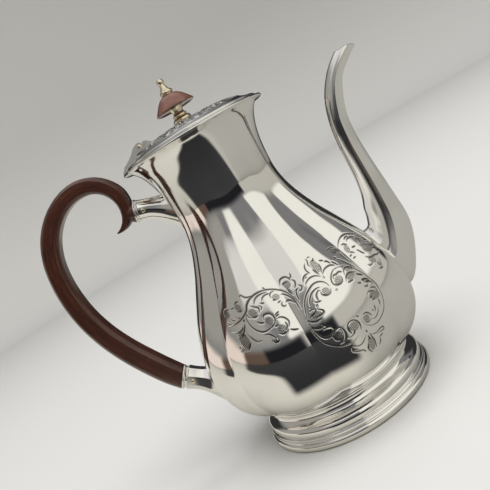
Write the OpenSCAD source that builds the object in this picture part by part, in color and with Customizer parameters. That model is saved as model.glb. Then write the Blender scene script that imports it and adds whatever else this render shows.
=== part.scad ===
// Silver coffee pot: an eight-lobed baluster body on a spread foot, a fluted swan-neck spout,
// a hinged domed lid with a wooden finial cap, and a wooden scroll handle in two silver sockets.
// Millimetres. +Z is up, +X runs to the spout, -X to the handle. The origin is the middle of the
// foot, on the table.

/* [Body] */
// Number of lobes round the body
lobes = 8; // [6:1:10]
// Depth of the creases between the lobes, at the belly
lobe_depth = 3.5; // [2:0.1:4]
// Thickness of the sheet of the body
wall = 1.2; // [1:0.1:1.4]
// Thickness of the body's floor
floor_t = 1.4; // [1.2:0.1:2]
// Diameter of each strainer hole behind the spout
strainer_d = 3.8; // [3:0.1:4.2]

/* [Foot] */
// Radius of the foot over its base wire
foot_r = 58.8; // [58.4:0.1:60]
// Thickness of the foot's sheet
foot_wall = 1.5; // [1.2:0.1:1.8]

/* [Spout] */
// Thickness of the spout's sheet
spout_wall = 1.1; // [0.9:0.1:1.2]
// Half the width of the spout where it meets the body
spout_root_w = 13.6; // [12.5:0.1:15]

/* [Lid] */
// Rise of the lid's dome above its edge
lid_rise = 7.5; // [6.8:0.1:7.8]
// Thickness of the lid's sheet
lid_wall = 1.1; // [0.9:0.1:1.3]
// Depth of the bezel that locates the lid in the neck
bezel_depth = 4; // [3:0.1:4.4]

/* [Hinge] */
// Radius of the hinge pin
hinge_pin_r = 1; // [0.8:0.05:1.2]
// Radial clearance of the lid's knuckle on the pin
hinge_clearance = 0.06; // [0.02:0.01:0.09]
// Outer radius of the knuckles
knuckle_r = 2.85; // [2.6:0.05:2.9]
// Half the length of the hinge along its pin
hinge_half = 10; // [9:0.1:10.5]

/* [Finial] */
// Radius of the wooden cap
cap_r = 13.3; // [12:0.1:14]
// Radius of the threaded rod
rod_r = 1.2; // [1:0.1:1.3]

/* [Handle] */
// Half the width of the wooden grip
grip_w = 6.8; // [6:0.1:7.2]
// Radius of the tenons at the grip's ends
tenon_r = 4.6; // [4:0.1:4.8]
// Length of each tenon beyond the grip
tenon_len = 13; // [11:0.5:14]
// Radius of the pins through the tenons
handle_pin_r = 0.9; // [0.7:0.1:1.1]

/* [Hidden] */

silver = [0.84, 0.82, 0.78];
warm_silver = [0.80, 0.76, 0.66];
wood = [0.36, 0.16, 0.11];

$fn = 96;
big = 200;
// Gap left between solids that pass through one another without a running fit
fit = 0.05;

// Body outline: height, mean radius, crease depth as a share of lobe_depth, and how far the
// creases have softened into round flutes (0 sharp, 1 soft)
foot_top = 25.5;
body_top = 198.6;
body_outline = [
    [foot_top, 53.8, 0.75, 0], [28.5, 58.2, 0.8, 0], [35, 64.4, 0.85, 0], [45, 69.1, 0.95, 0],
    [58, 70.8, 1, 0], [72, 69, 1.05, 0], [84, 65.3, 1.15, 0.1], [96, 60, 1.25, 0.3],
    [110, 52.3, 1.25, 0.6], [126, 43.7, 1.05, 0.9], [142, 37.3, 0.75, 1], [156, 34.6, 0.55, 1],
    [170, 35.2, 0.4, 1], [182, 37.1, 0.25, 1], [191, 40.1, 0.1, 1], [195.5, 42.6, 0, 1],
    [body_top, 45.4, 0, 1]];

// Rim flange on top of the body
rim_top = 200.4;
rim_r = 50;
rim_bead_r = 0.75;

// Lid: its dome falls away as the fourth power of the radius, so it is flat on top
lid_gap = 0.3;
lid_r = 46;
dome_edge_r = 44.8;
dome_edge_z = 201.1;
dome_top = dome_edge_z + lid_rise;
edge_bead_r = 0.8;
edge_bead_z = rim_top + lid_gap + edge_bead_r;
flange_t = 0.6;
flange_top = rim_top + lid_gap + flange_t;
bezel_r = 40.8;

// Hinge: its axis runs along Y. The lid ends at a straight joint behind the pin, and the rear
// segment of the dome is fixed to the rim.
hinge_x = -30.9;
hinge_z = 210.5;
lid_back_x = -34.5;
fixed_front_x = -35;
leaf_t = 0.6;
knuckle_half = 4.8;
knuckle_gap = 0.2;
swing_r = knuckle_r + 0.3;

// Spout: middle, direction of travel, half height across the bend, half width. The direction
// is an angle from +X towards +Z.
spout_path = [
    [58, 68, 10, 24, spout_root_w * 1.08], [70, 69.5, 12, 23, spout_root_w],
    [76.6, 79.5, 27, 18.9, spout_root_w * 0.87], [80.6, 92.5, 45, 15.5, 10.2],
    [81.8, 106, 65, 10.6, 8.7], [82.1, 120, 82, 8.2, 7.6], [82, 134, 91, 7.2, 6.8],
    [82.3, 148, 90, 6.6, 6.2], [84, 162, 80, 6.1, 5.8], [88.4, 174.8, 66, 5.9, 5.6],
    [94.9, 185.5, 52, 5, 5.3], [102.5, 192.3, 38, 4.9, 5.2], [110, 197, 30, 4.4, 4.8],
    [118, 201, 25, 4.2, 4.6]];
// Half of the spout's section: 1 is the outer side of the bend, -1 the inner side
spout_half = [[1, 0], [0.94, 0.36], [0.72, 0.7], [0.38, 0.92], [0, 1], [-0.28, 0.85],
    [-0.52, 0.84], [-0.82, 0.52], [-0.95, 0.28], [-1, 0]];
// Top edge of the beak, and the far corners of what is cut away above it
beak_edge = [[101.5, 198.1], [103.6, 197.1], [107.2, 197.4], [111.2, 196.8], [114.6, 195.2],
    [118, 190], [130, 190], [130, 220], [95, 220]];

// Handle sockets: where each collar joins its socket, and the outward direction there
upper_join = [-54, 177.4];
upper_dir = 163;
upper_collar_len = 3;
upper_collar_r = 7.65;
lower_join = [-86.4, 66.4];
lower_dir = 143.5;
lower_collar_len = 3.9;
lower_collar_r = 8.4;
upper_socket_path = [[-33.5, 165.5, 172, 13.5, 11], [-37.8, 168.8, 169, 10.3, 8.8],
    [-42.2, 172, 167, 8.2, 7.6], [-47.9, 175.2, 163, 6.8, 6.9],
    [upper_join.x, upper_join.y, upper_dir, 6.9, 6.9]];
lower_socket_path = [[-69, 54.5, 170, 15.5, 12.5], [-73.8, 56.5, 164, 10.4, 9.5],
    [-77.3, 59.5, 152, 8, 7.9], [-81.6, 63, 146, 7.3, 7.4],
    [lower_join.x, lower_join.y, lower_dir, 7.8, 7.8]];

// Grip, from the lower collar over the top to the point of its scroll: middle, direction of
// travel, half thickness, half width
upper_face = step_out(upper_join, upper_dir, upper_collar_len);
lower_face = step_out(lower_join, lower_dir, lower_collar_len);
grip_path = [
    [lower_face.x, lower_face.y, lower_dir, 7.2, grip_w * 0.98],
    [-96, 77.5, 128, 7.4, grip_w], [-104.6, 91.5, 121, 7.4, grip_w],
    [-111.8, 105, 116, 7.2, grip_w], [-117.6, 119, 109, 7, grip_w], [-121.6, 134, 100, 6.8, grip_w],
    [-123.2, 149, 92, 6.6, grip_w], [-122.6, 164, 83, 6.4, grip_w], [-119.5, 178, 71, 6.2, grip_w],
    [-113.3, 190.5, 55, 6, grip_w], [-104.5, 200, 38, 5.8, grip_w * 0.98],
    [-94, 206.3, 22, 5.6, grip_w * 0.97], [-83, 208.8, 4, 5.6, grip_w * 0.96],
    [-73, 207.2, -22, 5.4, grip_w * 0.94], [-65.2, 201.8, -48, 5, grip_w * 0.92],
    [-60.6, 194.5, -72, 4.9, grip_w * 0.9], [-59.6, 187, -92, 4.4, grip_w * 0.87],
    [-61.3, 180, -112, 3.8, grip_w * 0.8], [-65, 175.2, -140, 2.9, grip_w * 0.65],
    [-70, 172.8, -165, 1.5, grip_w * 0.4], [-74.2, 172.2, -185, 0.4, grip_w * 0.15]];
// Quarter of the grip's section: flat faces with broad chamfers
grip_quarter = [[1, 0.6], [0.66, 1]];

upper_pin_at = step_out(upper_join, upper_dir, -3.4);
lower_pin_at = step_out(lower_join, lower_dir, -3.6);

// ---------- Curves and lofts ----------

// The point that lies a distance beyond p in a direction of the XZ plane
function step_out(p, dir, dist) = [p.x + dist * cos(dir), p.y + dist * sin(dir)];

// A smooth curve through points of any size, with k steps between each two
function bend(a, b, c, d, t) = 0.5 * (2 * b + (c - a) * t + (2 * a - 5 * b + 4 * c - d) * t * t
    + (3 * b - a - 3 * c + d) * t * t * t);
function smooth(p, k) = [for (i = [0 : len(p) - 2], j = [0 : k - 1])
    bend(p[max(i - 1, 0)], p[i], p[i + 1], p[min(i + 2, len(p) - 1)], j / k), p[len(p) - 1]];

// Points of an arc about a centre
function arc(c, r, from, to, steps = 8) = [for (i = [0 : steps])
    let (a = from + (to - from) * i / steps) [c.x + r * cos(a), c.y + r * sin(a)]];

// A half section given from u = 1 to u = -1, closed by its mirror image
function whole(half) = concat(half, [for (i = [len(half) - 2 : -1 : 1]) [half[i].x, -half[i].y]]);

// A quarter section, closed by its mirror images
function four(q) = concat(q, [for (i = [len(q) - 1 : -1 : 0]) [-q[i].x, q[i].y]],
    [for (p = q) [-p.x, -p.y]], [for (i = [len(q) - 1 : -1 : 0]) [q[i].x, -q[i].y]]);

// One ring of a sweep in the XZ plane, from a path row and a section, thinned by a wall
function ring(v, section, thin = 0) = [for (s = section)
    [v[0] + s.x * (v[3] - thin) * sin(v[2]), s.y * (v[4] - thin),
        v[1] - s.x * (v[3] - thin) * cos(v[2])]];

function middle(r) = [for (k = [0 : 2]) [for (p = r) p[k]] * [for (p = r) 1] / len(r)];

// A closed solid through a list of rings
module loft(rings) {
    n = len(rings[0]);
    m = len(rings);
    points = concat([for (r = rings) each r], [middle(rings[0]), middle(rings[m - 1])]);
    sides = [for (i = [0 : m - 2], j = [0 : n - 1])
        let (a = i * n + j, b = i * n + (j + 1) % n) each [[a, a + n, b + n], [a, b + n, b]]];
    bottom = [for (j = [0 : n - 1]) [m * n, j, (j + 1) % n]];
    top = [for (j = [0 : n - 1]) [m * n + 1, (m - 1) * n + (j + 1) % n, (m - 1) * n + j]];
    polyhedron(points, concat(sides, bottom, top), convexity = 10);
}

module sweep(path, section, thin = 0) {
    loft([for (v = path) ring(v, section, thin)]);
}

// Keeps a facetted shape together as one mesh
module as_mesh() {
    resize([0, 0, 0]) children();
}

// Turned solid from an outline of radius and height
module turned(outline) {
    rotate_extrude($fn = 180) polygon(outline);
}

// Stands a part along a direction in the XZ plane, with its origin at p
module along(p, dir) {
    translate([p.x, 0, p.y]) rotate([0, 90 - dir, 0]) children();
}

module across(p, half, r) {
    translate([p.x, half, p.y]) rotate([90, 0, 0]) cylinder(r = r, h = 2 * half);
}

// ---------- Body ----------

// Height of a lobe above its crease, from 0 to 1, at azimuth a
function lobe(a, soft) = (1 - soft) * abs(sin(lobes * a / 2)) + soft * (1 - cos(lobes * a)) / 2;
function body_ring(v, thin, steps) = [for (j = [0 : lobes * steps - 1])
    let (a = 360 * j / (lobes * steps), r = v[1] - thin + lobe_depth * v[2] * (lobe(a, v[3]) - 0.4))
    [r * cos(a), r * sin(a), v[0]]];

module body_outside() {
    loft([for (v = smooth(body_outline, 2)) body_ring(v, 0, 12)]);
}

module body_inside() {
    inner = [for (v = smooth(body_outline, 2)) if (v[0] > foot_top + floor_t) v];
    start = [foot_top + floor_t, inner[0][1] - 2.4, inner[0][2], 0];
    end = [body_top + 1, inner[len(inner) - 1][1], 0, 1];
    loft([for (v = concat([start], inner, [end])) body_ring(v, wall, 6)]);
}

// Holes through the wall behind the spout, in rows of three and four
module strainer() {
    pitch = strainer_d + 2.6;
    for (row = [-2 : 2], col = [-1.5 : 1 : 2]) {
        y = (col - (row % 2 == 0 ? 0.5 : 0)) * pitch;
        if (abs(y) < 2 * pitch)
            translate([55, y, 68 + row * pitch * 0.87]) rotate([0, 90, 0])
                cylinder(d = strainer_d, h = 30, $fn = 12);
    }
}

module body() {
    color(silver) as_mesh() difference() {
        body_outside();
        body_inside();
        strainer();
    }
}

module rim_flange() {
    r0 = body_outline[len(body_outline) - 1][1];
    bead = [rim_r - rim_bead_r, rim_top - rim_bead_r];
    color(silver) turned(concat([[r0 - wall, body_top], [r0, body_top], [r0 + 2.4, body_top + 0.3]],
        arc(bead, rim_bead_r, -90, 90), [[r0 - 0.6, rim_top]]));
}

module foot() {
    t = foot_wall;
    color(silver) turned(concat(
        [[47, foot_top], [52.4, foot_top]], arc([52.4, foot_top - 1.5], 1.5, 80, -60),
        smooth([[50.7, foot_top - 3.1], [49.9, 20.4], [50, 18.6], [50.9, 16.9], [52.8, 15.3],
            [54.2, 14.5]], 3),
        smooth([[54.5, 14.3], [55.7, 13.2], [56.3, 11.4], [56.2, 9.4], [55.8, 8.6]], 3),
        [[56.6, 8.3], [56.9, 7.6], [56.5, 7.1], [57.1, 6.7], [57.3, 6.1], [57.1, 5.6],
            [57.1 - 2.2, 5.6], [56.2 - t, 9.4], [55.7 - t, 12.6], [54.2 - t, 14.5 - t],
            [52.6 - t, 15.3 - t], [50.7 - t, 17 - 0.6 * t], [49.8 - t, 19.4], [50.4 - t, 22.6],
            [47, 22.6]]));
}

module foot_wire() {
    c = [foot_r - 2.4, 2.8];
    color(silver) turned(concat([[54.9, 5.6], [57, 5.6]],
        [for (a = [72 : -12 : -72]) [c.x + 2.4 * cos(a), c.y + 2.6 * sin(a)]],
        [[c.x, 0], [54.9, 0], [54.4, 0.5], [54.4, 5.1]]));
}

// ---------- Spout ----------

module spout() {
    path = smooth(spout_path, 3);
    section = whole(spout_half);
    color(silver) as_mesh() difference() {
        sweep(path, section);
        sweep(path, section, spout_wall);
        body_outside();
        translate([0, 20, 0]) rotate([90, 0, 0]) linear_extrude(40) polygon(beak_edge);
    }
}

// ---------- Lid ----------

function dome_z(r) = dome_top - lid_rise * pow(r / lid_r, 4);
function dome_curve(from, to, drop = 0, steps = 12) = [for (i = [0 : steps])
    let (r = from + (to - from) * i / steps) [r, dome_z(r) - drop]];

// Everything in front of the joint, and everything behind it
module front_of(x) {
    translate([x, -big / 2, 0]) cube([big, big, 2 * big]);
}

module behind(x) {
    translate([x - big, -big / 2, 0]) cube([big, big, 2 * big]);
}

// The space under the dome's outer surface, raised by lift
module under_dome(lift) {
    turned(concat([[0, 190], [0, dome_top + lift]], dome_curve(4, dome_edge_r, -lift),
        [[dome_edge_r, 190]]));
}

module lid() {
    inner_r = 43.4;
    color(silver) difference() {
        turned(concat([[rod_r + fit, dome_top]], dome_curve(4, dome_edge_r),
            [[dome_edge_r, flange_top], [inner_r, flange_top]], dome_curve(inner_r - 0.4, 4, lid_wall),
            [[rod_r + fit, dome_top - lid_wall]]));
        behind(lid_back_x);
    }
}

module lid_edge() {
    c = [lid_r - 0.2, edge_bead_z];
    color(silver) difference() {
        turned(concat([[dome_edge_r, edge_bead_z - 0.4]], arc(c, edge_bead_r, -140, 140, 20),
            [[dome_edge_r, edge_bead_z + 0.4]]));
        behind(lid_back_x);
    }
}

module lid_bezel() {
    z0 = rim_top + lid_gap;
    color(silver) difference() {
        turned([[bezel_r - 1.1, z0 - bezel_depth + 0.3], [bezel_r - 0.8, z0 - bezel_depth],
            [bezel_r, z0 - bezel_depth], [bezel_r, z0], [dome_edge_r, z0], [dome_edge_r, flange_top],
            [bezel_r - 1.1, flange_top]]);
        behind(lid_back_x);
    }
}

module hinge_leaf() {
    cheek = [[-29.2, 206], [-28.6, 211], [-27.4, 212.3], [-26.2, 212.1], [-24.1, 210.6],
        [-22.8, 208.6], [-22.2, 206]];
    web = [[-33.4, 206], [-33, 208.6], [-29, 208.6], [-27, 210], [-27, 206]];
    tongue = [[-23, -5.5], [-20.5, -4.6], [-17.6, -2], [-16.6, 0], [-17.6, 2], [-20.5, 4.6], [-23, 5.5]];
    color(silver) difference() {
        union() {
            intersection() {
                under_dome(leaf_t);
                translate([lid_back_x, -hinge_half - 1, 195]) cube([12.5, 2 * hinge_half + 2, 20]);
            }
            intersection() {
                under_dome(leaf_t);
                translate([0, 0, 195]) linear_extrude(20) polygon(tongue);
            }
            upright(cheek, hinge_half);
            upright(web, knuckle_half);
            across([hinge_x, hinge_z], knuckle_half, knuckle_r);
        }
        under_dome(0);
        for (s = [-1, 1])
            translate([0, s * (hinge_half + 2 + knuckle_half) / 2, 0])
                across([hinge_x, hinge_z], (hinge_half + 2 - knuckle_half) / 2, swing_r);
        across([hinge_x, hinge_z], hinge_half + 2, hinge_pin_r + hinge_clearance);
    }
}

// ---------- Fixed half of the hinge ----------

// An outline in the XZ plane, given thickness about Y = 0
module upright(outline, half) {
    translate([0, half, 0]) rotate([90, 0, 0]) linear_extrude(2 * half) polygon(outline);
}

module rear_segment() {
    c = [lid_r - 0.2, edge_bead_z];
    color(silver) difference() {
        turned(concat(dome_curve(34, dome_edge_r), arc(c, edge_bead_r, 120, -60, 12),
            [[lid_r - 0.6, rim_top], [43.6, rim_top], [43.6, flange_top], [43, flange_top]],
            dome_curve(42.8, 34, lid_wall)));
        front_of(fixed_front_x);
        translate([-big / 2, -hinge_half, 190]) cube([big, 2 * hinge_half, 30]);
    }
}

module hinge_bracket() {
    wedge = [[-48.2, rim_top], [-48.8, 201.4], [-45.3, 204.9], [-41.1, 207], [-37.9, 209.2],
        [-36.3, 210.9], [-34.4, 212.2], [-32.2, 213], [hinge_x, hinge_z], [hinge_x, 207.65], [-33.4, 207.6],
        [fixed_front_x, 207.2], [fixed_front_x, 201], [-37, rim_top]];
    color(silver) difference() {
        union() {
            upright(wedge, hinge_half);
            across([hinge_x, hinge_z], hinge_half, knuckle_r);
        }
        across([hinge_x, hinge_z], knuckle_half + knuckle_gap, swing_r);
        translate([hinge_x - swing_r, -knuckle_half - knuckle_gap, 200])
            cube([10, 2 * (knuckle_half + knuckle_gap), 20]);
        across([hinge_x, hinge_z], hinge_half + 2, hinge_pin_r + 0.02);
    }
}

module hinge_pin() {
    color(warm_silver) across([hinge_x, hinge_z], hinge_half + 0.3, hinge_pin_r);
}

// ---------- Finial ----------

cap_z = dome_top + 11.7;
tip_z = cap_z + 8.9;

module finial_base() {
    color(warm_silver) turned([for (p = concat(
        [[rod_r + fit, 0], [4.9, 0], [5.1, 0.4], [4.7, 0.9], [4.3, 1.1]],
        smooth([[4.9, 1.5], [5.9, 2.4], [6.05, 3.4], [5.4, 4.6], [4.4, 5.2]], 3),
        [[4.1, 5.5], [4.6, 5.8], [4.7, 6.3], [4.5, 6.8], [3.9, 7.1]],
        smooth([[3.6, 7.6], [3.5, 8.6], [3.8, 9.8], [4.2, 10.8]], 3),
        [[4.4, 11.2], [4.4, 11.7], [rod_r + fit, 11.7]])) [p.x, p.y + dome_top]]);
}

module finial_cap() {
    k = cap_r / 13.3;
    color(wood) turned([for (p = concat([[rod_r + fit, 0], [11.6 * k, 0], [12.7 * k, -0.7]],
        smooth([[13.3 * k, -0.5], [12.9 * k, 0.5], [10.9 * k, 3.1], [8.5 * k, 5.9], [6.1, 7.9],
            [3.7, 8.9]], 3), [[rod_r + fit, 8.9]])) [p.x, p.y + cap_z]]);
}

module finial_tip() {
    bore_z = 3.4;
    color(warm_silver) turned([for (p = concat([[rod_r + fit, 0], [3.5, 0], [3.7, 0.5]],
        smooth([[4.2, 0.8], [4.4, 1.4], [4, 2.4], [2.9, 3.5], [2.2, 5], [1.7, 6.4], [1.5, 7.1]], 3),
        smooth([[2, 7.5], [2.35, 8.7], [1.8, 10.1], [0.9, 10.9], [0, 11.1]], 3),
        [[0, bore_z], [rod_r + fit, bore_z]])) [p.x, p.y + tip_z]]);
}

washer_t = 1;
nut_t = 2.2;
under_z = dome_top - lid_wall;

module finial_rod() {
    z0 = under_z - washer_t - nut_t - 0.8;
    color(warm_silver) translate([0, 0, z0]) cylinder(r = rod_r, h = tip_z + 3 - z0);
}

module finial_washer() {
    color(warm_silver) translate([0, 0, under_z - washer_t - 0.1]) difference() {
        cylinder(r = 4, h = washer_t);
        translate([0, 0, -1]) cylinder(r = rod_r + fit, h = 4);
    }
}

module finial_nut() {
    color(warm_silver) translate([0, 0, under_z - washer_t - nut_t - 0.1]) difference() {
        cylinder(r = 3.2, h = nut_t, $fn = 6);
        translate([0, 0, -1]) cylinder(r = rod_r + fit, h = 4);
    }
}

// ---------- Handle ----------

// A socket: a flared tube from the body to its collar, bored for the tenon and its pin
module socket(path, join, dir, pin_at) {
    color(silver) as_mesh() difference() {
        loft([for (v = smooth(path, 3)) ring(v, arc([0, 0], 1, 7.5, 352.5, 23))]);
        body_outside();
        along(step_out(join, dir, -tenon_len + 2), dir) cylinder(r = tenon_r + 0.2, h = 40, $fn = 48);
        across(pin_at, 20, handle_pin_r + fit, $fn = 20);
    }
}

module collar(join, dir, len, r) {
    neck = r - 1;
    color(silver) along(join, dir) turned(concat([[tenon_r + 0.2, 0], [neck, 0]],
        arc([neck, 0.6], 0.6, -90, 90, 6), [[neck, 1.5]], arc([r - 0.6, len - 0.6], 0.6, -60, 90, 6),
        [[tenon_r + 0.2, len]]));
}

module handle_pin(at, half) {
    color(warm_silver) across(at, half, handle_pin_r);
}

module tenon(face, dir, back) {
    along(step_out(face, dir, -back), dir) cylinder(r = tenon_r, h = back + 4, $fn = 48);
}

module handle_grip() {
    color(wood) as_mesh() difference() {
        union() {
            sweep(smooth(grip_path, 3), four(grip_quarter));
            along(upper_face, upper_dir) cylinder(r1 = 7, r2 = 5.6, h = 4.4, $fn = 48);
            tenon(upper_face, upper_dir, upper_collar_len + tenon_len - 3);
            tenon(lower_face, lower_dir, lower_collar_len + tenon_len - 3);
        }
        across(upper_pin_at, 20, handle_pin_r + fit, $fn = 24);
        across(lower_pin_at, 20, handle_pin_r + fit, $fn = 24);
    }
}

module upper_socket() {
    socket(upper_socket_path, upper_join, upper_dir, upper_pin_at);
}

module lower_socket() {
    socket(lower_socket_path, lower_join, lower_dir, lower_pin_at);
}

module upper_collar() {
    collar(upper_join, upper_dir, upper_collar_len, upper_collar_r);
}

module lower_collar() {
    collar(lower_join, lower_dir, lower_collar_len, lower_collar_r);
}

module upper_handle_pin() {
    handle_pin(upper_pin_at, 7.1);
}

module lower_handle_pin() {
    handle_pin(lower_pin_at, 7.8);
}

body();
rim_flange();
foot();
foot_wire();
spout();
rear_segment();
hinge_bracket();
hinge_pin();
lid();
lid_edge();
lid_bezel();
hinge_leaf();
finial_base();
finial_cap();
finial_tip();
finial_rod();
finial_washer();
finial_nut();
upper_socket();
upper_collar();
lower_socket();
lower_collar();
handle_grip();
upper_handle_pin();
lower_handle_pin();
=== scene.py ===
import math

import bmesh
import bpy
import numpy as np
from mathutils import Matrix, Vector


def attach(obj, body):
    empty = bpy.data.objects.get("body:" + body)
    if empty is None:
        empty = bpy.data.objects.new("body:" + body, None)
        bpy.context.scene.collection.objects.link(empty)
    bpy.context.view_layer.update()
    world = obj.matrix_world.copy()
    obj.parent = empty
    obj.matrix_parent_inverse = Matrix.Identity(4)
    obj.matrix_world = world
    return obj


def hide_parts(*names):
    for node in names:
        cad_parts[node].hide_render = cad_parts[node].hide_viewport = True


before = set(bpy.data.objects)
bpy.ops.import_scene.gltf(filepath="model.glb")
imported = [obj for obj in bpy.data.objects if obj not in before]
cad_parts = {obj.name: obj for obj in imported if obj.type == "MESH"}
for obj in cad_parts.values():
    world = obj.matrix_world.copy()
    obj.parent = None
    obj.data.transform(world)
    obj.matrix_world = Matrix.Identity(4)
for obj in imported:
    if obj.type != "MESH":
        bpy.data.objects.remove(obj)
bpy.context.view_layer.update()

MM = 0.001  # lengths below are in millimetres, and meshes are made in metres

# ---------- Dimensions, as in the CAD source ----------

LOBES = 8
LOBE_DEPTH = 3.5
WALL = 1.2
FOOT_WALL = 1.5
FOOT_TOP = 25.5
FLOOR_TOP = FOOT_TOP + 1.4
BODY_TOP = 198.6
# Height, mean radius, crease depth as a share of LOBE_DEPTH, softness of the creases
BODY_OUTLINE = [
    [FOOT_TOP, 53.8, 0.75, 0], [28.5, 58.2, 0.8, 0], [35, 64.4, 0.85, 0], [45, 69.1, 0.95, 0],
    [58, 70.8, 1, 0], [72, 69, 1.05, 0], [84, 65.3, 1.15, 0.1], [96, 60, 1.25, 0.3],
    [110, 52.3, 1.25, 0.6], [126, 43.7, 1.05, 0.9], [142, 37.3, 0.75, 1], [156, 34.6, 0.55, 1],
    [170, 35.2, 0.4, 1], [182, 37.1, 0.25, 1], [191, 40.1, 0.1, 1], [195.5, 42.6, 0, 1],
    [BODY_TOP, 45.4, 0, 1]]
RIM_TOP = 200.4
RIM_R = 50
LID_R = 46
DOME_EDGE_R = 44.8
DOME_TOP = 208.6
LID_RISE = 7.5
LID_WALL = 1.1
EDGE_Z = 201.5
LID_BACK_X = -34.5
FIXED_FRONT_X = -35
HINGE_HALF = 10

SPOUT_W = 13.6
SPOUT_WALL = 1.1
# Middle x and z, direction of travel, half height across the bend, half width
SPOUT_PATH = [
    [58, 68, 10, 24, SPOUT_W * 1.08], [70, 69.5, 12, 23, SPOUT_W], [76.6, 79.5, 27, 18.9, SPOUT_W * 0.87],
    [80.6, 92.5, 45, 15.5, 10.2], [81.8, 106, 65, 10.6, 8.7], [82.1, 120, 82, 8.2, 7.6],
    [82, 134, 91, 7.2, 6.8], [82.3, 148, 90, 6.6, 6.2], [84, 162, 80, 6.1, 5.8],
    [88.4, 174.8, 66, 5.9, 5.6], [94.9, 185.5, 52, 5, 5.3], [102.5, 192.3, 38, 4.9, 5.2],
    [110, 197, 30, 4.4, 4.8], [118, 201, 25, 4.2, 4.6]]
BEAK = [[95, 220], [101.5, 198.1], [103.6, 197.1], [107.2, 197.4], [111.2, 196.8], [114.6, 195.2],
    [118, 190], [130, 190]]

UPPER_JOIN = [-54, 177.4]
UPPER_DIR = 163
UPPER_COLLAR = [3, 7.65]
LOWER_JOIN = [-86.4, 66.4]
LOWER_DIR = 143.5
LOWER_COLLAR = [3.9, 8.4]
UPPER_SOCKET = [[-33.5, 165.5, 172, 13.5, 11], [-37.8, 168.8, 169, 10.3, 8.8],
    [-42.2, 172, 167, 8.2, 7.6], [-47.9, 175.2, 163, 6.8, 6.9], [-54, 177.4, 163, 6.9, 6.9]]
LOWER_SOCKET = [[-69, 54.5, 170, 15.5, 12.5], [-73.8, 56.5, 164, 10.4, 9.5],
    [-77.3, 59.5, 152, 8, 7.9], [-81.6, 63, 146, 7.3, 7.4], [-86.4, 66.4, 143.5, 7.8, 7.8]]
GRIP_W = 6.8
GRIP_PATH = [
    [-89.5, 68.7, LOWER_DIR, 7.2, 0.98], [-96, 77.5, 128, 7.4, 1], [-104.6, 91.5, 121, 7.4, 1],
    [-111.8, 105, 116, 7.2, 1], [-117.6, 119, 109, 7, 1], [-121.6, 134, 100, 6.8, 1],
    [-123.2, 149, 92, 6.6, 1], [-122.6, 164, 83, 6.4, 1], [-119.5, 178, 71, 6.2, 1],
    [-113.3, 190.5, 55, 6, 1], [-104.5, 200, 38, 5.8, 0.98], [-94, 206.3, 22, 5.6, 0.97],
    [-83, 208.8, 4, 5.6, 0.96], [-73, 207.2, -22, 5.4, 0.94], [-65.2, 201.8, -48, 5, 0.92],
    [-60.6, 194.5, -72, 4.9, 0.9], [-59.6, 187, -92, 4.4, 0.87], [-61.3, 180, -112, 3.8, 0.8],
    [-65, 175.2, -140, 2.9, 0.65], [-70, 172.8, -165, 1.5, 0.4], [-74.2, 172.2, -185, 0.4, 0.15]]


# ---------- Curves ----------

def smooth(points, k):
    """A Catmull-Rom curve through points of any size, with k steps between each two."""
    p = np.array(points, float)
    out = []
    for i in range(len(p) - 1):
        a, b, c, d = p[max(i - 1, 0)], p[i], p[i + 1], p[min(i + 2, len(p) - 1)]
        for t in np.arange(k) / k:
            out.append(0.5 * (2 * b + (c - a) * t + (2 * a - 5 * b + 4 * c - d) * t * t
                              + (3 * b - a - 3 * c + d) * t ** 3))
    return np.array(out + [p[-1]])


def arc(c, r, start, end, steps=8):
    return [[c[0] + r * math.cos(a), c[1] + r * math.sin(a)]
            for a in np.radians(np.linspace(start, end, steps + 1))]


def lengths(points):
    """Distance along a curve to each of its points."""
    return np.r_[0, np.cumsum(np.linalg.norm(np.diff(points, axis=0), axis=1))]


def ease(t):
    t = np.clip(t, 0, 1)
    return t * t * (3 - 2 * t)


# ---------- Meshes ----------

def add_piece(name, verts, faces, material, body, nodes, sharp=30, **layers):
    """A mesh from points in millimetres, riding on a body in place of CAD nodes.

    layers are values at its points.
    """
    mesh = bpy.data.meshes.new(name)
    mesh.from_pydata((np.asarray(verts, float) * MM).tolist(), [], faces)
    for layer, values in layers.items():
        values = np.asarray(values, np.float32)
        vector = values.ndim == 2
        field = mesh.attributes.new(layer, "FLOAT_VECTOR" if vector else "FLOAT", "POINT")
        field.data.foreach_set("vector" if vector else "value", values.ravel())
    bm = bmesh.new()
    bm.from_mesh(mesh)
    bmesh.ops.recalc_face_normals(bm, faces=bm.faces)
    bm.to_mesh(mesh)
    bm.free()
    mesh.shade_smooth()
    mesh.set_sharp_from_angle(angle=math.radians(sharp))
    mesh.materials.append(material)
    piece = bpy.data.objects.new(name, mesh)
    bpy.context.scene.collection.objects.link(piece)
    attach(piece, body)
    if nodes:
        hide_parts(*nodes)
    return piece


def skin(rings, cap_start=True, cap_end=True):
    """Points and faces of a closed tube through rings of equal size."""
    rings = np.asarray(rings, float)
    m, n = rings.shape[:2]
    verts = rings.reshape(-1, 3).tolist()
    faces = [(i * n + j, i * n + (j + 1) % n, (i + 1) * n + (j + 1) % n, (i + 1) * n + j)
             for i in range(m - 1) for j in range(n)]
    for wanted, i in ((cap_start, 0), (cap_end, m - 1)):
        if wanted:
            centre = len(verts)
            verts.append(rings[i].mean(0).tolist())
            faces += [(centre, i * n + j, i * n + (j + 1) % n) for j in range(n)]
    return verts, faces


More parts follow.
